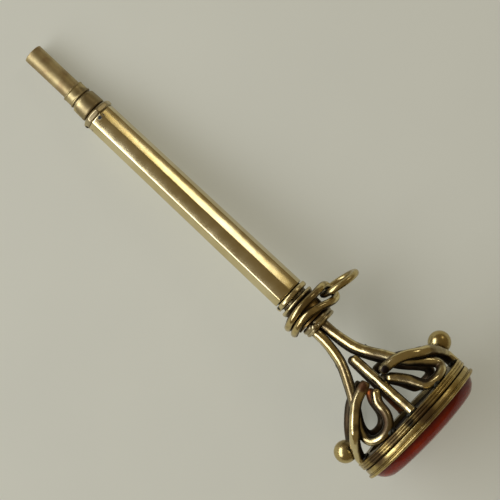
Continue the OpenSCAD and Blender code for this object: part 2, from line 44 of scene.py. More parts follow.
# How the key lies: it is made along +x from the pipe's open end, in millimetres, then tilted
# onto the table by this angle. Cage and seal sit a little to the left of the barrel's axis
lie = {"tilt": 5.313411575, "middle": 35.9746, "rest": 1.3442, "aside": 0.5}
sealSide = ("stem", "brace", "pillar", "ball", "gallery", "bezel", "seal", "solder")  # starts of their names
tilt = np.radians(lie["tilt"])
keyAlong = np.array([np.cos(tilt), 0, np.sin(tilt)])
keyUp = np.array([-np.sin(tilt), 0, np.cos(tilt)])

# Places along the key, as in the part's source
at = {
    "ring": 7.15, "ferrule": 8.9, "collar": 11.27, "barrel": 12.22, "barrelEnd": 45.97, "cone": 47.22,
    "spool": 48.22, "neck": 50.67, "cage": 51.94, "gallery": 67.59, "bezel": 68.64, "rim": 70.04,
}


# The key's own x and z run along keyAlong and keyUp, y moves over; then metres
def laid(points, aside):
    x, y, z = np.moveaxis(np.asarray(points, float), -1, 0)
    return 0.001 * np.stack([
        x * keyAlong[0] + z * keyUp[0] - lie["middle"],
        y + lie["aside"] - aside,
        x * keyAlong[2] + z * keyUp[2] + lie["rest"],
    ], axis=-1)


def sides(count):
    return count


def around(count):
    return np.linspace(0, 2 * np.pi, count, endpoint=False)


# Rows of x and reach, carried round the key's axis: y = reach cos a, z = reach sin a
def carried(x, reach, angle):
    return np.stack([x + 0 * reach * angle, reach * np.cos(angle), reach * np.sin(angle)], -1)


# Where the scrolls' middles are, and how much of the way across counts in "facing"
scroll = {"x": 64.9, "across": 4.5, "reach": 5.2, "fadeFrom": 0.85, "fadeOver": 0.25}
acrossShare = 0.6


# How each point faces, kept on the mesh for the tarnish and painted shade. "facing" is the cosine between its normal
# and the way out from the key's axis, with the way's part across drawn in. "scrollFacing" is the cosine
# with the way out from the middle of the scroll on its side, and rises past 1 beyond the scroll's reach
def markFacing(mesh, points):
    normals = np.empty(3 * len(points))
    mesh.vertex_normals.foreach_get("vector", normals)
    normals = normals.reshape(-1, 3)
    along, across, up = normals @ keyAlong, normals[:, 1], normals @ keyUp
    x, y, z = points.T
    facing = (acrossShare * y * across + z * up) / (np.hypot(acrossShare * y, z) + 1e-6)
    offX, offY = x - scroll["x"], np.abs(y) - scroll["across"]
    far = np.hypot(offX, offY) + 1e-6
    beyond = 3 * np.clip((far / scroll["reach"] - scroll["fadeFrom"]) / scroll["fadeOver"], 0, 1)
    scrollFacing = (offX * along + offY * np.sign(y) * across) / far + beyond
    for name, value in (("facing", facing), ("scrollFacing", scrollFacing)):
        mesh.attributes.new(name, "FLOAT", "POINT").data.foreach_set("value", value.astype(np.float32))


pieces = []


# A piece from a grid of points, rows by columns. Rows are joined to the next row and columns
# to the next column; an end row is closed by a fan to its middle point unless rows wrap round
def gridPiece(name, grid, body, replaced=(), wrapRows=False):
    rows, columns = grid.shape[:2]
    i, j = np.meshgrid(np.arange(rows if wrapRows else rows - 1), np.arange(columns), indexing="ij")
    down, right = (i + 1) % rows, (j + 1) % columns
    quads = np.stack([
        i * columns + j, i * columns + right, down * columns + right, down * columns + j,
    ], -1).reshape(-1, 4)
    points, faces = grid.reshape(-1, 3), quads.tolist()
    if not wrapRows:
        points = np.vstack([points, grid[0].mean(0), grid[-1].mean(0)])
        first, last = rows * columns, rows * columns + 1
        ring, after = np.arange(columns), (np.arange(columns) + 1) % columns
        end = (rows - 1) * columns
        faces += np.stack([np.full(columns, first), after, ring], -1).tolist()
        faces += np.stack([np.full(columns, last), ring + end, after + end], -1).tolist()
    corners = points[quads]
    crossed = np.cross(corners[:, 1] - corners[:, 0], corners[:, 3] - corners[:, 0])
    volume = np.einsum("ij,ij->i", corners[:, 0] - points.mean(0), crossed).sum()
    if volume < 0:  # faces point outwards
        faces = [face[::-1] for face in faces]
    mesh = bpy.data.meshes.new(name)
    aside = lie["aside"] if name.startswith(sealSide) else 0.0
    mesh.from_pydata(laid(points, aside).tolist(), [], faces)
    mesh.shade_smooth()
    mesh.update()
    markFacing(mesh, points)
    piece = bpy.data.objects.new(name, mesh)
    scene.collection.objects.link(piece)
    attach(piece, body)
    if replaced:
        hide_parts(*replaced)
    pieces.append(piece)


# Every corner of an outline becomes a small curve: each side is cut back by the radius, or by
# two fifths of its length, a quadratic curve joins the cuts, and a point just past it keeps the flat flat
def softened(outline, radius, steps=4, closed=True):
    p = np.asarray(outline, float)
    before, after = np.roll(p, 1, 0), np.roll(p, -1, 0)
    sideA, sideB = np.linalg.norm(before - p, axis=1), np.linalg.norm(after - p, axis=1)
    cut = np.minimum(radius, 0.4 * np.minimum(sideA, sideB))[:, None]
    a, b = (before - p) / sideA[:, None], (after - p) / sideB[:, None]
    k = np.linspace(0, 1, steps)[None, :, None]
    middle = 2 * p[:, None] * k * (1 - k)
    curve = (p + a * cut)[:, None] * (1 - k) ** 2 + middle + (p + b * cut)[:, None] * k ** 2
    hold = 1.15 * cut
    full = np.concatenate([(p + a * hold)[:, None], curve, (p + b * hold)[:, None]], 1)
    if closed:
        return full.reshape(-1, 2)
    return np.vstack([p[:1], full[1:-1].reshape(-1, 2), p[-1:]])


# A turned piece: its outline holds (depth under the radius, height along the key) from one end to
# the other, the bore closes it, and it is carried round the key's axis
def turnedPiece(name, x, body, node, shape):
    bore, length = shape["radius"] - shape["bore"], shape["outline"][-1][1]
    rows = [(bore, 0.0), *shape["outline"], (bore, length)]
    outline = softened([(shape["radius"] - depth, height) for depth, height in rows], shape["soft"])
    grid = carried(x + outline[:, 1:], outline[:, :1], around(sides(96)))
    gridPiece(name, grid, body, [node], wrapRows=True)


# A smooth curve through chosen points: Catmull-Rom pieces, then even steps along its length
def smoothPath(points, count):
    p = np.asarray(points, float)
    padded = np.vstack([2 * p[0] - p[1], p, 2 * p[-1] - p[-2]])
    k = np.linspace(0, 1, 40, endpoint=False)[None, :, None]
    a, b, c, d = (padded[i : len(p) - 1 + i][:, None] for i in range(4))
    square, cube = (2 * a - 5 * b + 4 * c - d) * k ** 2, (3 * b - a - 3 * c + d) * k ** 3
    curve = 0.5 * (2 * b + (c - a) * k + square + cube)
    path = np.vstack([curve.reshape(-1, 3), p[-1:]])
    length = np.concatenate([[0], np.cumsum(np.linalg.norm(np.diff(path, axis=0), axis=1))])
    wanted = np.linspace(0, length[-1], count)
    return np.stack([np.interp(wanted, length, path[:, i]) for i in range(3)], -1)


# A round wire: at each path point a circle of the wire's radius stands square to the path. A domed end adds
# circles of radius r cos a, moved out by r sin a; blunt below 1 gives r (cos a) ** blunt, a filed end.
# Uneven is the share by which two slow waves swell the wire, as drawing and bending by hand leave it
def wire(path, radius, up, domeFirst=False, domeLast=False, blunt=1.0, uneven=0.0):
    path = np.asarray(path, float)
    along = np.gradient(path, axis=0)
    along /= np.linalg.norm(along, axis=1)[:, None]
    up = np.broadcast_to(np.asarray(up, float), path.shape)
    step = np.arange(len(path))
    r = radius * (1 + uneven * (np.sin(0.21 * step + 1) + 0.6 * np.sin(0.47 * step)) / 1.6)
    rise = np.radians([14, 28, 42, 56, 70, 84])[:, None]
    atFirst, atLast = ((len(rise), 0), (0, 0)), ((0, len(rise)), (0, 0))
    if domeFirst:
        path = np.vstack([path[0] - r[0] * np.sin(rise[::-1]) * along[0], path])
        along, up = np.pad(along, atFirst, "edge"), np.pad(up, atFirst, "edge")
        r = np.concatenate([r[0] * np.cos(rise[::-1, 0]) ** blunt, r])
    if domeLast:
        path = np.vstack([path, path[-1] + r[-1] * np.sin(rise) * along[-1]])
        along, up = np.pad(along, atLast, "edge"), np.pad(up, atLast, "edge")
        r = np.concatenate([r, r[-1] * np.cos(rise[:, 0])])
    u = up - np.einsum("ij,ij->i", up, along)[:, None] * along
    u /= np.linalg.norm(u, axis=1)[:, None]
    v = np.cross(along, u)
    angle = around(sides(28))[None, :, None]
    return path[:, None] + r[:, None, None] * (np.cos(angle) * u[:, None] + np.sin(angle) * v[:, None])


print("watch key: key pipe and slide")
keyPipe = {
    "radius": 1.35, "length": 9.7, "core": 0.4, "soft": 0.1, "socket": 1.45, "socketDepth": 5.0, "cornerReach": 0.66,
}


# Outside: a turned tube. Inside: at angle a the square socket's wall is w / 2 / max(|cos a|, |sin a|)
# away from the axis, drawn in a little at its corners as a broached hole is
def pipeGrid(pipe):
    angle, radius, length = around(sides(128)), pipe["radius"], pipe["length"]
    back = softened([[radius, 0], [radius, length], [pipe["core"], length]], pipe["soft"], closed=False)[::-1]
    mouth = [[radius, 0.4], [radius, 0.12], [radius - 0.015, 0.06], [radius - 0.06, 0.015], [radius - 0.12, 0.0]]
    outside = np.vstack([back[:-1], mouth])
    wall = pipe["socket"] / 2 / np.maximum(np.abs(np.cos(angle)), np.abs(np.sin(angle)))
    wall = np.minimum(wall, pipe["socket"] * pipe["cornerReach"])
    depth = np.array([0.0, 0.05, 0.1, 0.3, 1.5, 3.0, 4.6, pipe["socketDepth"] - 0.04, pipe["socketDepth"]])
    grow = np.array([1.1, 1.05, 1.0, 1.0, 1.0, 1.0, 1.0, 1.0, 0.92])
    return np.concatenate([
        carried(outside[:, 1:], outside[:, :1], angle), carried(depth[:, None], grow[:, None] * wall, angle),
    ])


gridPiece("key_pipe_drawn", pipeGrid(keyPipe), "key_slide", ["key_pipe"])

pipeRing = {  # a bead, a plain band, a second bead and a shoulder
    "radius": 1.675, "bore": 1.37, "soft": 0.05,
    "outline": [
        (0.2, 0.0), (0.07, 0.1), (0.07, 0.2), (0.12, 0.3), (0.12, 1.3), (0.02, 1.38), (0.0, 1.45),
        (0.02, 1.55), (0.1, 1.6), (0.22, 1.62), (0.22, 1.75),
    ],
}
turnedPiece("pipe_ring_turned", at["ring"], "key_slide", "pipe_ring", pipeRing)

ferrule = {  # a step, then a taper that opens towards the barrel
    "radius": 1.85, "bore": 0.9, "soft": 0.07,
    "outline": [
        (0.27, 0.0), (0.27, 0.18), (0.12, 0.2), (0.08, 0.32), (0.02, 1.75), (0.0, 1.95), (0.02, 2.12), (0.12, 2.25),
    ],
}
turnedPiece("ferrule_turned", at["ferrule"], "key_slide", "ferrule", ferrule)

slideRod = {"width": 1.6, "from": 9.8, "to": 36.34, "edge": 0.12}


# A square bar with eased edges: the square's distance from the axis at angle a, held under a circle
def rodGrid(rod):
    angle, length = around(96), rod["to"] - rod["from"]
    reach = rod["width"] / 2 / np.maximum(np.abs(np.cos(angle)), np.abs(np.sin(angle)))
    reach = np.minimum(reach, rod["width"] / 2 * np.sqrt(2) - rod["edge"])
    place = np.array([0, 0.02, 0.08, 0.2, 4, 8, 12, 16, 20, length - 0.2, length])
    share = np.array([0.9, 0.97, 1, 1, 1, 1, 1, 1, 1, 1, 1])
    return carried(rod["from"] + place[:, None], share[:, None] * reach, angle)


gridPiece("slide_rod_drawn", rodGrid(slideRod), "key_slide", ["slide_rod"])

print("watch key: barrel and mouth")
barrel = {
    "mouthAcross": 4.2, "endAcross": 4.7, "bore": 3.3, "turn": 5.0,
    "crown": 0.30,  # 0 is flat facets, 1 is a round tube
    "cornerSharpness": 90.0,
}


# A soft octagon of unit corner radius: the eight facets' distances are joined by a high power
# mean, which rounds the corners, and the result is then drawn part of the way to a circle
def softOctagon(angle, crown, sharpness, turn):
    facet = np.radians(22.5 + 45 * np.arange(8))[:, None] + np.radians(turn)
    lean = np.maximum(np.cos(angle - facet), 0)
    flat = np.cos(np.radians(22.5)) / (lean ** sharpness).sum(0) ** (1 / sharpness)
    return (1 - crown) * flat / flat.max() + crown


# The octagon grows evenly from mouth to end, with eased edges at both, and the bore returns inside it
def barrelGrid(tube):
    angle, length = around(sides(320)), at["barrelEnd"] - at["barrel"]
    shape = softOctagon(angle + np.pi / 2, tube["crown"], tube["cornerSharpness"], -tube["turn"])
    place = np.array([
        0.0, 0.03, 0.08, 0.2, 0.6, 3, 8, 14, 20, 26, 31, length - 0.3, length - 0.12, length - 0.06, length,
    ])
    ease = np.array([0.965, 0.99, 1.0, 1.0, 1.0, 1.0, 1.0, 1.0, 1.0, 1.0, 1.0, 1.0, 0.995, 0.985, 0.96])
    half = (tube["mouthAcross"] + (tube["endAcross"] - tube["mouthAcross"]) * place / length) / 2 * ease
    outer = carried(at["barrel"] + place[:, None], half[:, None] * shape, angle)
    inner = carried(at["barrel"] + place[::-1, None], tube["bore"] / 2 + 0 * place[:, None], angle)
    return np.concatenate([outer, inner])


gridPiece("barrel_drawn", barrelGrid(barrel), "seal_handle", ["barrel"], wrapRows=True)

mouthCollar = {"across": 4.6, "length": 0.95, "bore": 2.46, "crown": 0.12, "cornerSharpness": 70, "belly": 2.4}


# The collar: an octagon cut by a cone in front and behind, so each facet's edge is a scallop
def collarGrid(collar):
    angle, length, bore = around(sides(256)), collar["length"], collar["bore"] / 2
    octagon = softOctagon(angle + np.pi / 2, collar["crown"], collar["cornerSharpness"], -barrel["turn"])
    flat = collar["across"] / 2 * np.cos(np.radians(22.5))
    h = np.array([0, 0, 0.02, 0.06, 0.12, 0.2, 0.28, 0.36, 0.46, 0.6, 0.72, 0.78, 0.84, 0.9, 0.93, length, length])
    cone = np.interp(h, [0, 0.42, 0.71, length], [flat - 0.25, collar["belly"], collar["belly"], flat - 0.05])
    cone[[0, -1]] = bore + 0.2
    reach = np.vstack([np.minimum(collar["across"] / 2 * octagon, cone[:, None]), np.full((6, len(angle)), bore)])
    h = np.concatenate([h, np.linspace(length, 0.0, 6)])
    return carried(at["collar"] + h[:, None], reach, angle)


gridPiece("mouth_collar_filed", collarGrid(mouthCollar), "seal_handle", ["mouth_collar"], wrapRows=True)

print("watch key: waist, loop and bail")
lowerRing = {  # a bead between two dark grooves
    "radius": 2.55, "bore": 1.57, "soft": 0.07,
    "outline": [
        (0.6, 0.0), (0.6, 0.12), (0.12, 0.17), (0.0, 0.32), (0.0, 0.66), (0.1, 0.84), (0.62, 0.88), (0.62, 1.25),
    ],
}
turnedPiece("lower_ring_turned", at["barrelEnd"], "seal_handle", "lower_ring", lowerRing)

waistCone = {
    "radius": 2.6, "bore": 1.57, "soft": 0.08,
    "outline": [(0.15, 0.0), (0.0, 0.12), (0.0, 0.32), (0.35, 0.95)],
}
turnedPiece("waist_cone_turned", at["cone"], "seal_handle", "waist_cone", waistCone)

neckCollar = {  # a bead, a groove and a sloped foot
    "radius": 2.4, "bore": 1.57, "soft": 0.07,
    "outline": [
        (0.3, 0.0), (0.1, 0.08), (0.0, 0.3), (0.0, 0.52), (0.12, 0.68), (0.12, 0.76), (0.05, 0.86), (0.05, 1.08),
        (0.25, 1.27),
    ],
}
turnedPiece("neck_collar_turned", at["neck"], "seal_handle", "neck_collar", neckCollar)

spool = {  # two flanges, and a waist deep enough for the bail to swing clear of it
    "radius": 2.65, "bore": 1.6, "soft": 0.06,
    "outline": [(0.0, 0.0), (0.0, 0.35), (0.45, 0.45), (0.45, 1.95), (0.0, 2.05), (0.0, 2.4)],
}
turnedPiece("swivel_spool_turned", at["spool"], "swivel", "swivel_spool", spool)

rivet = {"x": 51.325, "turn": 25.0, "radius": 0.525, "seat": 2.24, "sunk": 0.12}


# The rivet's round head: circles of radius r cos a at height r sin a, on the collar's side
def rivetGrid(head):
    a, angle, turn = np.radians([0, 0, 8, 20, 32, 44, 56, 68, 80])[:, None], around(48), np.radians(head["turn"])
    reach, up = head["radius"] * np.cos(a), head["seat"] + head["radius"] * np.sin(a) + 0 * angle
    up[0] -= head["sunk"]
    x, side = reach * np.cos(angle), reach * np.sin(angle)
    return np.stack([
        head["x"] + x, side * np.cos(turn) - up * np.sin(turn), side * np.sin(turn) + up * np.cos(turn),
    ], -1)


gridPiece("neck_rivet_head", rivetGrid(rivet), "seal_handle", ["neck_rivet"])

loop = {
    "wire": 1.05, "radius": 3.225, "eye": 4.125, "rise": 0.3, "end": 50.0, "pitch": 1.11, "spread": 6.0, "fall": 3.8,
    "shift": 0.95, "wave": 0.37, "skew": 0.15, "climb": 0.275, "uneven": 0.008,
}


# The loop's distance from the axis: its radius, with a slow rise and a sharper one at the eye
def loopReach(turn):
    side = np.maximum(np.cos(turn), 0)
    return loop["radius"] + loop["rise"] * side ** 2 + (loop["eye"] - loop["radius"] - loop["rise"]) * side ** 8


# The middle between its two legs along the key, which sways as a bent wire does
def loopMiddle(turn):
    sway = loop["wave"] * np.cos(2 * turn) + loop["skew"] * np.sin(2 * turn) + loop["climb"] * np.sin(turn)
    return at["spool"] + loop["shift"] + sway


# The loop is one wire: the phase runs from one leg's end round the spool to the eye at 180
# degrees and back, the turn is 180 + 180 cos(phase), and the two legs lie side by side
def loopPath(count):
    phase = np.radians(np.linspace(loop["end"], 360 - loop["end"], count))
    turn = np.radians(180 + 180 * np.cos(phase))
    apart = np.sin(phase) / 2 * (loop["pitch"] + loop["spread"] * np.abs(np.cos(phase)) ** loop["fall"])
    reach = loopReach(turn)
    path = np.stack([loopMiddle(turn) + apart, reach * np.cos(turn), reach * np.sin(turn)], -1)
    return path, np.stack([0 * turn, np.cos(turn), np.sin(turn)], -1)


path, away = loopPath(sides(480))
loopGrid = wire(path, loop["wire"] / 2, away, domeFirst=True, domeLast=True, uneven=loop["uneven"])
gridPiece("swivel_loop_wire", loopGrid, "swivel", ["swivel_loop"])

bail = {"across": 6.0, "wire": 0.9, "lean": 12.0, "turn": 8.0, "sag": 0.02, "slack": 0.2}


# The bail: a closed ring of wire in the plane that leans from the eye
def bailGrid(ring):
    middle = (ring["across"] - ring["wire"]) / 2
    offset = middle - (loop["wire"] + ring["wire"]) / 2 - ring["slack"]
    circle, section = around(sides(192))[:, None], around(28)
    reach = middle + ring["wire"] / 2 * np.cos(section)
    x = ring["wire"] / 2 * np.sin(section) + 0 * circle
    y, z = offset + reach * np.cos(circle), reach * np.sin(circle)
    lean, turn = np.radians(-ring["lean"]), np.radians(ring["turn"])
    x, y = x * np.cos(lean) - y * np.sin(lean), x * np.sin(lean) + y * np.cos(lean)
    x, z = x * np.cos(turn) + z * np.sin(turn), z * np.cos(turn) - x * np.sin(turn)
    return np.stack([x + loopMiddle(0.0) + ring["sag"], y + loop["eye"], z], -1)


gridPiece("bail_ring_wire", bailGrid(bail), "bail", ["bail_ring"], wrapRows=True)

print("watch key: cage of scrolled wire")
cage = {
    "length": 15.65, "stemWire": 1.35, "braceWire": 1.4, "pillarWire": 1.3, "pillarLength": 10.2,
    "backShare": 0.9, "footA": 8.7, "footB": 7.0, "ease": 0.1, "gap": 0.06, "uneven": 0.012,
}
neckOff = (cage["stemWire"] + cage["gap"]) / 2


# The surface that stems and pillars lie on: its height grows as k k (1 + ease) / (k + ease) along
# the cage, and falls to the sides as an ellipse of half width footA
def cageLean(x):
    k = np.maximum(0, (x - at["cage"]) / cage["length"])
    return neckOff + (cage["footB"] - neckOff) * k * k * (1 + cage["ease"]) / (k + cage["ease"])


def onCage(x, y, lift=0.0):
    x, y = np.asarray(x, float), np.asarray(y, float)
    return np.stack([x, y, cageLean(x) * np.sqrt(np.maximum(0, 1 - (y / cage["footA"]) ** 2)) + lift], -1)


# Stem outlines, from the neck round the scroll to the pillar: shares of length and half width
stemOutline = {
    "right": np.array([
        [0.050, 0.083], [0.150, 0.092], [0.293, 0.128], [0.378, 0.177], [0.462, 0.247], [0.545, 0.331],
        [0.629, 0.404], [0.712, 0.484], [0.780, 0.578], [0.850, 0.693], [0.887, 0.747], [0.926, 0.783],
        [0.963, 0.781], [0.990, 0.735], [1.000, 0.661], [1.000, 0.577], [0.977, 0.436], [0.940, 0.390],
        [0.890, 0.350], [0.845, 0.314], [0.775, 0.235],
    ]),
    "left": np.array([
        [0.050, 0.083], [0.150, 0.098], [0.293, 0.146], [0.376, 0.199], [0.460, 0.273], [0.543, 0.359],
        [0.626, 0.449], [0.709, 0.545], [0.793, 0.643], [0.834, 0.684], [0.876, 0.716], [0.918, 0.728],
        [0.958, 0.712], [0.985, 0.658], [0.998, 0.587], [1.000, 0.509], [0.990, 0.431], [0.963, 0.357],
        [0.928, 0.308], [0.883, 0.273], [0.786, 0.240],
    ]),
}
# Brace outlines: shares of length and half width, and how far the brace lies outside the stems
braceOutline = {
    "right": np.array([
        [0.599, 0.180, 0.85], [0.604, 0.275, 0.91], [0.612, 0.362, 1.03], [0.629, 0.450, 1.12],
        [0.654, 0.537, 1.17], [0.687, 0.625, 1.20], [0.724, 0.714, 1.14], [0.762, 0.827, 0.97],
        [0.806, 0.896, 0.64], [0.852, 0.945, 0.29], [0.905, 0.981, 0.07], [0.955, 0.990, 0.00],
        [1.000, 0.992, 0.00],
    ]),
    "left": np.array([
        [0.579, 0.217, 0.82], [0.594, 0.319, 0.91], [0.614, 0.420, 1.02], [0.646, 0.520, 1.18],
        [0.690, 0.622, 1.36], [0.739, 0.721, 1.51], [0.789, 0.810, 1.47], [0.840, 0.889, 1.11],
        [0.893, 0.941, 0.43], [0.947, 0.977, 0.00], [1.000, 0.990, 0.00],
    ]),
}
stemEnd = 0.72  # where a scroll's end meets the pillar, as a share of the length
braceBlunt = {"right": 0.8, "left": 0.25}  # the left end is filed flatter
stemRun = cage["length"] - cage["stemWire"] / 2
stemStop = (cage["pillarWire"] + cage["stemWire"]) / 2 + cage["gap"]
braceLift = (cage["stemWire"] + cage["braceWire"]) / 2 + cage["gap"]


def stemPath(side, share):
    outline = stemOutline[side]
    x = at["cage"] + np.concatenate([[0], outline[:, 0], [stemEnd]]) * stemRun
    y = np.concatenate([[neckOff], np.maximum(outline[:, 1] * cage["footA"] * share, neckOff), [stemStop]])
    return smoothPath(onCage(x, y), sides(200))


def bracePath(side):
    outline = braceOutline[side]
    x, y = at["cage"] + outline[:, 0] * cage["length"], outline[:, 1] * cage["footA"]
    return smoothPath(onCage(x, y, outline[:, 2] * braceLift), sides(140))


for face, depth in (("front", 1), ("back", -1)):
    for side, across in (("right", 1), ("left", -1)):
        mirror, outward = np.array([1, across, depth]), [0, 0, depth]
        path = stemPath(side, 1.0 if depth > 0 else cage["backShare"]) * mirror
        stem = wire(path, cage["stemWire"] / 2, outward, domeLast=True, uneven=cage["uneven"])
        gridPiece(f"stem_{face}_{side}_wire", stem, "seal_handle", [f"stem_{face}_{side}"])
        path = bracePath(side) * mirror
        blunt = braceBlunt[side]
        brace = wire(path, cage["braceWire"] / 2, outward, domeFirst=True, blunt=blunt, uneven=cage["uneven"])
        gridPiece(f"brace_{face}_{side}_wire", brace, "seal_handle", [f"brace_{face}_{side}"])
    topX = at["gallery"] - cage["pillarLength"] + cage["pillarWire"] / 2
    start, foot = np.array([topX, 0, depth * cageLean(topX)]), np.array([at["gallery"], 0, depth * cage["footB"]])
    path = start + np.linspace(0, 1, 60)[:, None] * (foot - start)
    pillar = wire(path, cage["pillarWire"] / 2, [0, 0, depth], domeFirst=True)
    gridPiece(f"pillar_{face}_rod", pillar, "seal_handle", [f"pillar_{face}"])

ball = {"across": 3.05, "aside": 9.3, "gap": 0.01}


# A ball sits in the fork of front and back braces, as near the seal as its size lets it: circles of
# radius r cos a at r sin a along the key
def ballGrid(side, across):
    path = bracePath(side)
    reach = (ball["across"] + cage["braceWire"]) / 2 + ball["gap"]
    off = (path[:, 1] - ball["aside"]) ** 2 + path[:, 2] ** 2
    near = off < reach ** 2
    middle = (path[near, 0] - np.sqrt(reach ** 2 - off[near])).min()
    a, r = np.radians(np.linspace(-86, 86, 44))[:, None], ball["across"] / 2
    return carried(middle + r * np.sin(a), r * np.cos(a), around(88)) + [0, across * ball["aside"], 0]


for side, across in (("right", 1), ("left", -1)):
    gridPiece(f"ball_{side}_cast", ballGrid(side, across), "seal_handle", [f"ball_{side}"])

# Solder at the wires' feet, and two spurs of it on the stems: places by x, y and z, and half sizes, in millimetres
solder = {
    "solder_front_left": ((67.28, -3.55, 6.15), (0.42, 0.62, 0.60)),
    "solder_front_right": ((67.30, 4.55, 5.75), (0.40, 0.66, 0.55)),
    "solder_back_left": ((67.32, -3.40, -6.05), (0.38, 0.60, 0.60)),
    "solder_back_right": ((67.30, 4.10, -5.80), (0.40, 0.58, 0.55)),
    "solder_pillar_front": ((67.42, -0.12, 6.95), (0.34, 0.86, 0.62)),
    "solder_pillar_back": ((67.42, 0.10, -6.95), (0.34, 0.84, 0.62)),
    "solder_brace_left": ((67.40, -8.35, 0.90), (0.36, 0.80, 0.95)),
    "solder_brace_right": ((67.40, 8.40, 0.95), (0.36, 0.72, 0.90)),
    "solder_stem_left": ((57.25, -2.12, 2.25), (0.55, 0.22, 0.26)),
    "solder_stem_right": ((58.05, 2.26, 2.55), (0.50, 0.20, 0.24)),
}


# A lump of solder: a sphere's points, drawn out to the half sizes and swollen by a few slow waves
def lumpGrid(middle, half):
    a = np.radians(np.linspace(-85, 85, 24))[:, None]
    unit = carried(np.sin(a), np.cos(a), around(40))
    wave = np.array([2.3, 3.1, 2.7])
    swell = 1 + 0.10 * np.sin(unit @ wave + middle[1]) + 0.06 * np.sin(unit @ wave[::-1] * 1.9 + middle[2])
    return np.asarray(middle) + unit * swell[..., None] * np.asarray(half)


for name, (middle, half) in solder.items():
    gridPiece(name, lumpGrid(middle, half), "seal_handle")

print("watch key: gallery, bezel and stone")
oval = {"halfLong": 9.6, "halfShort": 7.85, "endRadius": 6.2}
endCentre, shortOver = oval["halfLong"] - oval["endRadius"], oval["halfShort"] - oval["endRadius"]
sideCentre = (endCentre ** 2 - shortOver ** 2) / (2 * shortOver)
sideRadius = oval["halfShort"] + sideCentre


# The oval by the direction a of its outward normal: end arcs about (+-endCentre, 0) and side arcs
# about (0, -+sideCentre); an inset moves the point back along the normal
def ovalPoints(x, insetHeight):
    a = around(sides(288))
    c, s = np.cos(a), np.sin(a)
    onEnd = np.abs(s) < np.sin(np.arctan2(sideCentre, endCentre))
    y = np.where(onEnd, np.sign(c) * endCentre + oval["endRadius"] * c, sideRadius * c)
    z = np.where(onEnd, oval["endRadius"] * s, -np.sign(s) * sideCentre + sideRadius * s)
    inset, height = insetHeight[:, :1], insetHeight[:, 1:]
    return np.stack([x + height + 0 * a, y - inset * c, z - inset * s], -1)


gallery = {
    "length": 1.05, "inset": 0.15, "width": 2.15, "lap": 1.1, "dip": 0.12, "groove": 0.14, "floor": 0.55,
    "soft": 0.06,
}
g, band, length = gallery["inset"], gallery["length"] / 5, gallery["length"]
galleryOutline = softened([
    [g + gallery["width"], 0], [g + gallery["dip"], 0], [g, 0.5 * band], [g, band],
    [g + gallery["groove"], 1.5 * band], [g, 2 * band], [g, 2.8 * band], [g + gallery["groove"], 3.2 * band],
    [g, 3.6 * band], [g, 4.5 * band], [g + gallery["dip"], length], [g + gallery["lap"], length],
    [g + gallery["lap"], gallery["floor"]], [g + gallery["width"], gallery["floor"]],
], gallery["soft"])
gridPiece("gallery_moulded", ovalPoints(at["gallery"], galleryOutline), "seal_handle", ["gallery"], wrapRows=True)

bezel = {"length": 1.4, "seat": 0.65, "rim": 0.73, "back": 2.3, "band": 0.26, "soft": 0.06}
length, seat, band = bezel["length"], bezel["seat"], bezel["band"]
bezelOutline = softened([
    [bezel["back"], 0], [0.55, 0], [0.5, 0.12], [0.3, 0.2], [band, 0.5], [band, 0.78], [0.36, 0.9], [0.3, 0.98],
    [0.03, 1.02], [0.0, 1.08], [0.0, 1.24], [0.05, 1.33], [0.16, length], [bezel["rim"], length],
    [bezel["rim"], seat], [bezel["back"], seat],
], bezel["soft"])
gridPiece("bezel_drawn", ovalPoints(at["bezel"], bezelOutline), "seal_handle", ["bezel"], wrapRows=True)

stone = {"seat": 0.75, "out": 1.95, "faceInset": 3.6, "rim": 0.75, "soft": 0.5}


# The stone: back, girdle, rounded bevel and flat face, as rings of the same oval, then rings drawn in to the middle
def stoneGrid(gem):
    rim, face, depth = gem["rim"], gem["faceInset"], gem["seat"] + gem["out"]
    outline = softened([
        [face, 0], [rim + 0.1, 0], [rim, 0.1], [rim, gem["seat"] + 0.12], [rim + 0.5, depth - 0.95],
        [rim + 1.35, depth - 0.3], [face, depth], [face + 1.5, depth],
    ], gem["soft"], steps=6, closed=False)
    rings = ovalPoints(at["rim"] - gem["seat"], outline)
    share, back, front = np.array([0.3, 0.6, 0.85])[:, None, None], rings[:1], rings[-1:]
    across = np.array([0.0, 1.0, 1.0])
    backRings = back * (1 - across) + back * across * share
    frontRings = front * (1 - across) + front * across * share[::-1]
    return np.concatenate([backRings, rings, frontRings])


gridPiece("seal_stone_cut", stoneGrid(stone), "seal_handle", ["seal_stone"])

print("watch key: materials")


def shade(value):
    c = np.array([int(value[i : i + 2], 16) for i in (0, 2, 4)]) / 255
    linear = np.where(c <= 0.04045, c / 12.92, ((c + 0.055) / 1.055) ** 2.4)
    return (*linear.tolist(), 1.0)


def grey(level):
    return (level, level, level, 1.0)


def perMm(size):
    return 1000.0 / size  # a texture scale whose features are about this many millimetres


# Adds a node: settings are its properties, values its inputs, stops a ramp's places and colours, and
# links join inputs to other sockets, where a node stands for its first output
def addNode(tree, kind, settings=None, values=None, links=None, stops=()):
    node = tree.nodes.new("ShaderNode" + kind)
    for name, value in (settings or {}).items():
        setattr(node, name, value)
    for name, value in (values or {}).items():
        node.inputs[name].default_value = value
    for name, source in (links or {}).items():
        tree.links.new(getattr(source, "outputs", [source])[0], node.inputs[name])
    if stops:
        elements = node.color_ramp.elements
        while len(elements) < len(stops):
            elements.new(0.5)
        for element, (place, colour) in zip(elements, stops):
            element.position, element.color = place, colour
    return node


# An empty material, and addNode for its tree
def newMaterial(name):
    material = bpy.data.materials.new(name)
    material.use_nodes = True
    material.node_tree.nodes.clear()
    return material, partial(addNode, material.node_tree)


overColour = {"data_type": "RGBA"}  # a Mix node of colours: 0 is the share, 6 the base, 7 what lies over it
softStep = {"interpolation_type": "SMOOTHSTEP"}
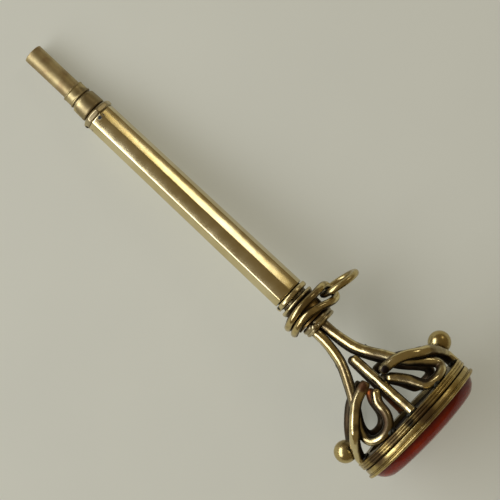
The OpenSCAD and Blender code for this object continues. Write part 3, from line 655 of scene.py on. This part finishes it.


# Painted shade with some dirt that a cloth doesn't reach, by a facing kept on the mesh: most of it up to the low
# limit, none from the high one, with an edge made ragged by the specks
def facingShade(add, facingName, speck, ragged, limits):
    facing = add("Attribute", {"attribute_name": facingName}).outputs["Fac"]
    edge = add("Math", {"operation": "MULTIPLY_ADD"}, {1: ragged}, {0: speck, 2: facing})
    low, high, most = limits
    return add("MapRange", softStep, {1: low + ragged / 2, 2: high + ragged / 2, 3: most, 4: 0.0}, {0: edge})


# A spot with a ragged edge round a point of the key, in millimetres along the key; some are stains, some painted
# shade and painted reflections
def stainAndLightMask(add, place, speck, spot):
    point, reach = laid(np.array(spot["at"]), lie["aside"]), 0.001 * spot["reach"]
    away = add("VectorMath", {"operation": "DISTANCE"}, {1: point.tolist()}, {0: place}).outputs["Value"]
    edge = add("Math", {"operation": "MULTIPLY_ADD"}, {1: 0.7 * reach}, {0: speck, 2: away})
    return add("MapRange", softStep, {1: 0.75 * reach, 2: 1.3 * reach, 3: 1.0, 4: 0.0}, {0: edge})


# Rolled gold, a pale gold skin on brass, polished by hand and by pockets: soft highlights that waver
# a little, brown to purple-black in the corners as tarnish and painted shade, cleaner and paler on the edges
def agedGold(name, look):
    material, add = newMaterial(name)
    place = add("TexCoord").outputs["Object"]
    blotch = add("TexNoise", None, {
        "Scale": perMm(look["blotch"]), "Detail": 5.0, "Roughness": 0.62}, {"Vector": place})
    colour = add("ValToRGB", links={"Fac": blotch}, stops=[(0.36, shade(look["warm"])), (0.62, shade(look["pale"]))])

    # tarnish and painted shade: corners by ambient occlusion, faces turned in that a cloth misses, and the insides
    # of the scrolls
    speck = add("TexNoise", None, {"Scale": perMm(0.45), "Detail": 6.0, "Roughness": 0.7}, {"Vector": place})
    corner = add("AmbientOcclusion", {"samples": 6}, {"Distance": 0.001 * look["cornerReach"]}).outputs["AO"]
    shadeSpeck = add("Math", {"operation": "MULTIPLY_ADD"}, {1: 0.55, 2: -0.27}, {0: speck})
    occludedShade = add("Math", {"operation": "ADD"}, None, {0: corner, 1: shadeSpeck})
    dirtAndShade = add("ValToRGB", links={"Fac": occludedShade}, stops=[
        (look["shadeAndTarnishFrom"], grey(1.0)), (look["shadeAndTarnishTo"], grey(0.0))])
    for facing, ragged, limits in (("facing", 0.5, look["sides"]), ("scrollFacing", 0.4, look["scrolls"])):
        if limits:
            mask = facingShade(add, facing, speck, ragged, limits)
            dirtAndShade = add("Math", {"operation": "MAXIMUM"}, None, {0: dirtAndShade, 1: mask})
    colour = add("Mix", overColour, {7: shade(look["shadeAndTarnish"])}, {0: dirtAndShade, 6: colour}).outputs[2]

    # single spots, which are stains and, on the wires, painted shade and painted reflections; then a brown film in
    # clouds
    for spot in look["stainAndLightSpots"]:
        mask = stainAndLightMask(add, place, speck, spot)
        colour = add("Mix", overColour, {7: shade(spot["colour"])}, {0: mask, 6: colour}).outputs[2]
        dirtAndShade = add("Math", {"operation": "MAXIMUM"}, None, {0: dirtAndShade, 1: mask})
    if look["film"]:
        cloud = add("TexNoise", None, {
            "Scale": perMm(3.4), "Detail": 4.0, "Roughness": 0.55, "Distortion": 0.5}, {"Vector": place})
        film = add("MapRange", softStep, {1: 0.48, 2: 0.62, 3: 0.0, 4: look["film"]}, {0: cloud})
        colour = add("Mix", overColour, {7: shade(look["filmColour"])}, {0: film, 6: colour}).outputs[2]
        dirtAndShade = add("Math", {"operation": "MULTIPLY_ADD", "use_clamp": True}, {1: 0.4}, {0: film, 2: dirtAndShade})

    # gloss wavers with a haze and goes dull under the dirt and the painted shade
    haze = add("TexNoise", None, {"Scale": perMm(1.7), "Detail": 4.0}, {"Vector": place})
    gloss = add("MapRange", None, {3: look["gloss"][0], 4: look["gloss"][1]}, {0: haze})
    rough = add("Mix", {"data_type": "FLOAT"}, {3: 0.5}, {0: dirtAndShade, 2: gloss})
    stretch = add("Mapping", None, {"Scale": look["scratchStretch"]}, {"Vector": place})
    scratch = add("TexNoise", None, {
        "Scale": perMm(look["scratch"]), "Detail": 3.0, "Roughness": 0.6}, {"Vector": stretch})
    waver = add("TexNoise", None, {"Scale": perMm(look["waver"]), "Detail": 1.5}, {"Vector": place})
    soft = add("Bump", None, {"Strength": look["waverHeight"], "Distance": 0.0004}, {"Height": waver})
    fine = add("Bump", None, {"Strength": look["scratchHeight"], "Distance": 0.00003}, {
        "Height": scratch, "Normal": soft})
    shader = add("BsdfPrincipled", None, {"Metallic": 1.0}, {
        "Base Color": colour, "Roughness": rough, "Normal": fine})
    add("OutputMaterial", links={"Surface": shader})
    return material


# Sizes are in millimetres. Sides and scrolls are each two limits of facing and the most painted shade and dirt
# between them; without these only corners, spots and film darken the gold. The tarnish colour is also the painted
# shade
goldLook = {
    "pale": "E7D9AE", "warm": "D4C28E", "blotch": 7.0, "gloss": (0.10, 0.24),
    "shadeAndTarnish": "2B1F1A", "cornerReach": 0.9, "shadeAndTarnishFrom": 0.25, "shadeAndTarnishTo": 0.62, "sides": None, "scrolls": None,
    "scratch": 0.25, "scratchStretch": (0.08, 1.0, 1.0), "scratchHeight": 0.22, "waver": 2.6, "waverHeight": 0.10,
    "stainAndLightSpots": [], "film": 0.0, "filmColour": "5E4A34",
}
# drawn tube, the brightest: fine lines along it, and one dark pin end under the collar
barrelGold = agedGold("rolled_gold_drawn_tube", {
    **goldLook, "scratchHeight": 0.03, "waverHeight": 0.05,
    "stainAndLightSpots": [{"at": (12.62, 0.25, 2.1), "reach": 0.42, "colour": "30363C"}],
})
# rubbed dull by the fingers, browner
pipeGold = agedGold("rolled_gold_pipe_rubbed_dull", {
    **goldLook, "pale": "CCBC8E", "warm": "A89668", "gloss": (0.44, 0.56), "waverHeight": 0.05,
    "film": 0.45, "filmColour": "8A6A4C",
})
# turned on a lathe: scratches run round it, and its grooves are darkened, partly dirt and partly painted shade
turnedLook = {
    **goldLook, "scratchStretch": (1.0, 0.1, 0.1), "cornerReach": 1.3, "shadeAndTarnishFrom": 0.35, "shadeAndTarnishTo": 0.85,
    "gloss": (0.18, 0.32), "film": 0.5, "stainAndLightSpots": [
        {"at": (12.1, -1.8, 0.4), "reach": 0.5, "colour": "1E1A16"},
        {"at": (46.35, -1.9, 1.0), "reach": 0.45, "colour": "22221A"},
    ],
}
turnedGold = agedGold("rolled_gold_turned", turnedLook)
# the ring and ferrule that fingers hold: duller, and browner in the worn places
ferruleGold = agedGold("rolled_gold_ferrule_dull", {
    **turnedLook, "pale": "D2C290", "warm": "A8966A", "gloss": (0.34, 0.46), "film": 0.6,
})
# wire bent by hand: bright on the outside, its flanks darkened as painted shade and tarnish, brown at the worn left
# brace's end, copper-orange painted reflections on the scrolls and the back pillar
wireLook = {
    **goldLook, "pale": "E4D4A2", "warm": "C8B47C", "shadeAndTarnish": "241B1B", "cornerReach": 1.6, "shadeAndTarnishFrom": 0.3,
    "shadeAndTarnishTo": 0.75, "waver": 1.6, "waverHeight": 0.16, "sides": (0.25, 0.82, 0.94), "film": 0.7,
    "filmColour": "5A4632", "stainAndLightSpots": [
        {"at": (60.90135, -1.95, 5.7), "reach": 1.15, "colour": "6B4A34"},  # left brace's end
        {"at": (61.41435, 1.55, 5.9), "reach": 1.0, "colour": "2C2422"},  # right brace's end: painted shade
        {"at": (57.5, 0.0, 4.4), "reach": 0.7, "colour": "5A452C"},  # pillar's top
        # front left scroll: painted reflection, copper-orange
        {"at": (61.9, -1.7, 4.6), "reach": 1.1, "colour": "7A4A2A"},
        {"at": (62.6, -2.2, -3.6), "reach": 1.9, "colour": "A65A2C"},  # back left scroll's end: painted reflection, copper-orange
        {"at": (66.0, -0.4, -6.3), "reach": 2.2, "colour": "8A4A26"},  # back pillar's foot: painted reflection, copper-orange
    ],
}
wireGold = agedGold("rolled_gold_wire", wireLook)
# the stems: as the braces, and nearly black inside their scrolls, painted shade with some tarnish
scrollGold = agedGold("rolled_gold_scrolled_wire", {**wireLook, "scrolls": (-0.5, 0.05, 0.95)})
# cast balls and the bail: warmer, with a soft handled gloss
ballGold = agedGold("rolled_gold_ball", {
    **goldLook, "pale": "D6C48E", "warm": "B09A62", "cornerReach": 1.6, "shadeAndTarnishFrom": 0.3, "shadeAndTarnishTo": 0.8,
    "gloss": (0.2, 0.34), "film": 0.5,
})
# the loop: wire darkened purple-black between its two legs and on faces turned in, as painted shade and tarnish
loopGold = agedGold("rolled_gold_loop_wire", {
    **goldLook, "pale": "DECD98", "warm": "C2AC72", "shadeAndTarnish": "2C2226", "cornerReach": 1.4, "shadeAndTarnishFrom": 0.35,
    "shadeAndTarnishTo": 0.8, "waver": 1.6, "waverHeight": 0.16, "sides": (0.2, 0.85, 0.92), "film": 0.6,
})
# gilt brass round the stone: thinner gold, so more brown patches and a wavier face; faces turned in are darkened as
# painted shade
bezelGold = agedGold("gilt_brass_bezel", {
    **goldLook, "pale": "D8C282", "warm": "B0985A", "shadeAndTarnish": "2E241C", "blotch": 3.5, "gloss": (0.16, 0.34),
    "cornerReach": 1.3, "shadeAndTarnishTo": 0.72, "waver": 1.8, "waverHeight": 0.22, "sides": (-0.15, 0.3, 0.8),
    "film": 0.45, "filmColour": "6A5434", "stainAndLightSpots": [
        {"at": (68.1, -1.3, 7.8), "reach": 1.0, "colour": "2A2C26"},
        {"at": (68.2, -7.6, 4.9), "reach": 2.2, "colour": "5C4A30"},
        {"at": (68.7, 0.8, 7.8), "reach": 2.0, "colour": "6A5638"},
        {"at": (68.0, -4.4, 7.2), "reach": 1.7, "colour": "6E5C3C"},
    ],
})
# brass that was never polished, inside the key: matt, and nearly black, partly as painted shade for the cage's dark
# inside
innerBrass = agedGold("dull_brass_inside", {
    **goldLook, "pale": "2E231D", "warm": "1B1515", "gloss": (0.6, 0.75), "shadeAndTarnishTo": 0.9,
})
# the spool in the loop's shade: brown, partly painted shade and partly gold rubbed through to brass
spoolBrass = agedGold("dull_gold_spool", {
    **goldLook, "pale": "B89A5C", "warm": "6E5836", "gloss": (0.25, 0.4), "shadeAndTarnishTo": 0.8,
})


# Drawn steel, a little grey with age: fine lines along the bar and a few rust-brown clouds
def drawnSteel(name):
    material, add = newMaterial(name)
    place = add("TexCoord").outputs["Object"]
    stretch = add("Mapping", None, {"Scale": (0.03, 1.0, 1.0)}, {"Vector": place})
    grain = add("TexNoise", None, {"Scale": perMm(0.12), "Detail": 4.0}, {"Vector": stretch})
    body = add("ValToRGB", links={"Fac": grain}, stops=[(0.3, shade("7E8084")), (0.7, shade("B4B6B8"))])
    stain = add("TexNoise", None, {"Scale": perMm(2.2), "Detail": 5.0}, {"Vector": place})
    rust = add("ValToRGB", links={"Fac": stain}, stops=[(0.58, grey(0.0)), (0.72, grey(0.6))])
    colour = add("Mix", overColour, {7: shade("5A4632")}, {0: rust, 6: body}).outputs[2]
    gloss = add("MapRange", None, {3: 0.24, 4: 0.42}, {0: grain})
    bump = add("Bump", None, {"Strength": 0.3, "Distance": 0.00003}, {"Height": grain})
    shader = add("BsdfPrincipled", None, {"Metallic": 1.0}, {
        "Base Color": colour, "Roughness": gloss, "Normal": bump})
    add("OutputMaterial", links={"Surface": shader})
    return material


# Carnelian, a clear red-brown quartz polished by hand: light sinks in and comes back orange
# near the face, and a painted shade darkens it at the rim, where the bezel shades it. Its surface is smooth but
# reflects weakly
def carnelian(name):
    material, add = newMaterial(name)
    place = add("TexCoord").outputs["Object"]
    cloud = add("TexNoise", None, {"Scale": perMm(4.5), "Detail": 4.0, "Distortion": 0.6}, {"Vector": place})
    body = add("ValToRGB", links={"Fac": cloud}, stops=[
        (0.3, shade("8E2A1A")), (0.55, shade("A4361E")), (0.8, shade("BA4C2A"))])
    # painted shade: the stone's colour is darkest at the bezel's lip and clears 1.1 mm out from it
    lip = float(laid(np.array([at["rim"], 0.0, 0.0]), 0.0) @ keyAlong)
    along = add("VectorMath", {"operation": "DOT_PRODUCT"}, {1: keyAlong.tolist()}, {0: place}).outputs["Value"]
    deep = add("MapRange", softStep, {1: lip, 2: lip + 0.0011, 3: 0.75, 4: 0.0}, {0: along})
    shaded = add("Mix", overColour, {7: shade("54201E")}, {0: deep, 6: body}).outputs[2]
    haze = add("TexNoise", None, {"Scale": perMm(0.9), "Detail": 4.0}, {"Vector": place})
    gloss = add("MapRange", None, {3: 0.05, 4: 0.13}, {0: haze})
    bump = add("Bump", None, {"Strength": 0.05, "Distance": 0.0001}, {"Height": haze})
    shader = add("BsdfPrincipled", None, {
        "IOR": 1.54, "Subsurface Weight": 0.45, "Subsurface Radius": (1.0, 0.28, 0.1), "Subsurface Scale": 0.0015,
        "Specular IOR Level": 0.18,
    }, {"Base Color": shaded, "Roughness": gloss, "Normal": bump})
    add("OutputMaterial", links={"Surface": shader})
    return material


# Solder gone black: a lead and tin joint, lumpy and almost matt, with a green bloom of copper salts
def blackSolder(name):
    material, add = newMaterial(name)
    place = add("TexCoord").outputs["Object"]
    bloom = add("TexNoise", None, {"Scale": perMm(0.5), "Detail": 5.0}, {"Vector": place})
    body = add("ValToRGB", links={"Fac": bloom}, stops=[
        (0.35, shade("1C1A17")), (0.55, shade("3A3A30")), (0.75, shade("5C6450"))])
    bump = add("Bump", None, {"Strength": 0.5, "Distance": 0.00008}, {"Height": bloom})
    shader = add("BsdfPrincipled", None, {"Metallic": 0.6, "Roughness": 0.5}, {"Base Color": body, "Normal": bump})
    add("OutputMaterial", links={"Surface": shader})
    return material


steel = drawnSteel("drawn_steel")
redStone = carnelian("carnelian_polished")
solderBlack = blackSolder("solder_blackened")


def dress(target, material):
    target.data.materials.clear()
    target.data.materials.append(material)


# The material and the record's slot of each piece, by the start of its name
finishes = {
    "key_pipe": (pipeGold, "gold"), "pipe_ring": (ferruleGold, "gold"), "ferrule": (ferruleGold, "gold"),
    "slide_rod": (steel, "steel"), "barrel": (barrelGold, "gold"), "mouth_collar": (turnedGold, "gold"),
    "lower_ring": (turnedGold, "gold"), "waist_cone": (turnedGold, "gold"), "neck": (turnedGold, "gold"),
    "swivel_spool": (spoolBrass, "old_gold"), "swivel_loop": (loopGold, "gold"), "bail": (ballGold, "gold"),
    "stem": (scrollGold, "gold"), "brace": (wireGold, "gold"), "pillar": (wireGold, "gold"),
    "ball": (ballGold, "gold"), "solder": (solderBlack, "gold"), "gallery": (bezelGold, "gold"),
    "bezel": (bezelGold, "gold"), "seal_stone": (redStone, "carnelian"),
}
for piece in pieces:
    material, slot = next(finish for start, finish in finishes.items() if piece.name.startswith(start))
    dress(piece, material)

# Pieces inside the key, whose solids are used as they are
insideFinish = {
    "piston_pin": steel, "friction_ring": steel, "bush_pins": steel, "slide_piston": turnedGold,
    "guide_bush": innerBrass, "spindle": innerBrass, "base_plate": innerBrass,
}
for name, material in insideFinish.items():
    dress(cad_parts[name], material)

print("watch key: floor, lamps and camera")
table = {
    "low": "DDDDD2", "high": "E2E2D6", "mottle": 25.0, "rings": (0.02, 0.1, 0.3, 0.8, 1.6, 4.0),
    "haze": 0.32, "hazeColour": "D3D5C6",
}


# The table: a plain flat disc of rings in metres
def tablePiece():
    angle, reach = around(96), np.array(table["rings"])[:, None]
    points = np.stack([reach * np.cos(angle), reach * np.sin(angle), 0 * reach + 0 * angle], -1)
    rows, columns = points.shape[:2]
    i, j = np.meshgrid(np.arange(rows - 1), np.arange(columns), indexing="ij")
    right = (j + 1) % columns
    quads = np.stack([
        i * columns + j, (i + 1) * columns + j, (i + 1) * columns + right, i * columns + right,
    ], -1).reshape(-1, 4).tolist()
    mesh = bpy.data.meshes.new("table")
    mesh.from_pydata(points.reshape(-1, 3).tolist(), [], quads + [list(range(columns))])
    piece = bpy.data.objects.new("table", mesh)
    scene.collection.objects.link(piece)
    return piece


# Matt card with the faintest mottle. A share of plain colour, for what the camera and the metal see
# of it, keeps its shadows as light as the room leaves them
def mattCard(name):
    material, add = newMaterial(name)
    place = add("TexCoord").outputs["Object"]
    mottle = add("TexNoise", None, {"Scale": perMm(table["mottle"]), "Detail": 3.0}, {"Vector": place})
    colour = add("ValToRGB", links={"Fac": mottle}, stops=[(0.3, shade(table["low"])), (0.7, shade(table["high"]))])
    shader = add("BsdfPrincipled", None, {"Roughness": 0.85, "Specular IOR Level": 0.2}, {"Base Color": colour})
    rays = add("LightPath").outputs
    seen = add("Math", {"operation": "MAXIMUM"}, None, {0: rays["Is Camera Ray"], 1: rays["Is Glossy Ray"]})
    seen = add("Math", {"operation": "MAXIMUM"}, None, {0: seen, 1: rays["Is Transmission Ray"]})
    share = add("Math", {"operation": "MULTIPLY"}, {1: table["haze"]}, {0: seen})
    plain = add("Emission", None, {"Color": shade(table["hazeColour"]), "Strength": 1.0})
    mixed = add("MixShader", None, None, {0: share, 1: shader, 2: plain})
    add("OutputMaterial", links={"Surface": mixed})
    return material


dress(tablePiece(), mattCard("matt_card"))

# A plain, warm and rather dark room
room = {"level": 0.17, "colour": "FFE3AE"}
world = bpy.data.worlds.new("room")
scene.world = world
world.use_nodes = True
world.node_tree.nodes.clear()
plain = addNode(world.node_tree, "Background", None, {"Color": shade(room["colour"]), "Strength": room["level"]})
addNode(world.node_tree, "OutputWorld", links={"Surface": plain})

# Lamps, each by the direction it stands in: azimuth from +x towards +y, zenith angle from straight
# up, distance and size in metres, and radiance, where 1 shows white in a white mirror. The side lamp
# fades out towards both of its ends, so it is three
lamps = {
    "window": {
        "azimuth": 229, "zenith": 57.4, "distance": 0.5, "size": (0.8, 0.242),
        "radiance": 4.2, "colour": "F6F9FF",
    },
    "side": {
        "azimuth": 101.5, "zenith": 54.0, "distance": 0.45, "size": (0.054, 0.1),
        "radiance": 3.4, "colour": "FFFBF0",
    },
    "sideTowardsPipe": {
        "azimuth": 107.5, "zenith": 54.7, "distance": 0.458, "size": (0.028, 0.1),
        "radiance": 1.1, "colour": "FFE9A0",
    },
    "sideTowardsSeal": {
        "azimuth": 94.6, "zenith": 53.6, "distance": 0.445, "size": (0.033, 0.1),
        "radiance": 0.7, "colour": "FFF0C0",
    },
}
for name, lamp in lamps.items():
    light = bpy.data.lights.new(name, "AREA")
    light.shape = "RECTANGLE"
    light.size, light.size_y = lamp["size"]
    light.energy = lamp["radiance"] * np.pi * lamp["size"][0] * lamp["size"][1]
    light.color = shade(lamp["colour"])[:3]
    holder = bpy.data.objects.new(name, light)
    azimuth, zenith = np.radians(lamp["azimuth"]), np.radians(lamp["zenith"])
    away = Vector((np.sin(zenith) * np.cos(azimuth), np.sin(zenith) * np.sin(azimuth), np.cos(zenith)))
    aimed = away.to_track_quat("Z", "Y").to_matrix().to_4x4()
    holder.matrix_world = Matrix.Translation(lamp["distance"] * away) @ aimed
    scene.collection.objects.link(holder)

# The camera stands 225 mm over the table; its roll turns the key to the photo's slant
view = {
    "stand": (-6.303876, -11.50, 225.1), "aim": (2.315992, 1.203568, 4.9), "roll": 43.469025,
    "focalPx": 1700.0, "imagePx": 500.0, "sensor": 36.0, "nearest": 0.01,
}
stand, aim, roll = Vector(view["stand"]), Vector(view["aim"]), np.radians(view["roll"])
forward = (aim - stand).normalized()
right = Vector((np.cos(roll), np.sin(roll), 0))
right = (right - right.dot(forward) * forward).normalized()
top = right.cross(forward)
camera = bpy.data.objects.new("camera", bpy.data.cameras.new("camera"))
camera.data.sensor_width = view["sensor"]
camera.data.lens = view["sensor"] * view["focalPx"] / view["imagePx"]
camera.data.clip_start = view["nearest"]
camera.matrix_world = Matrix.Translation(0.001 * stand) @ Matrix((right, top, -forward)).transposed().to_4x4()
scene.collection.objects.link(camera)
scene.camera = camera

print("watch key: done")
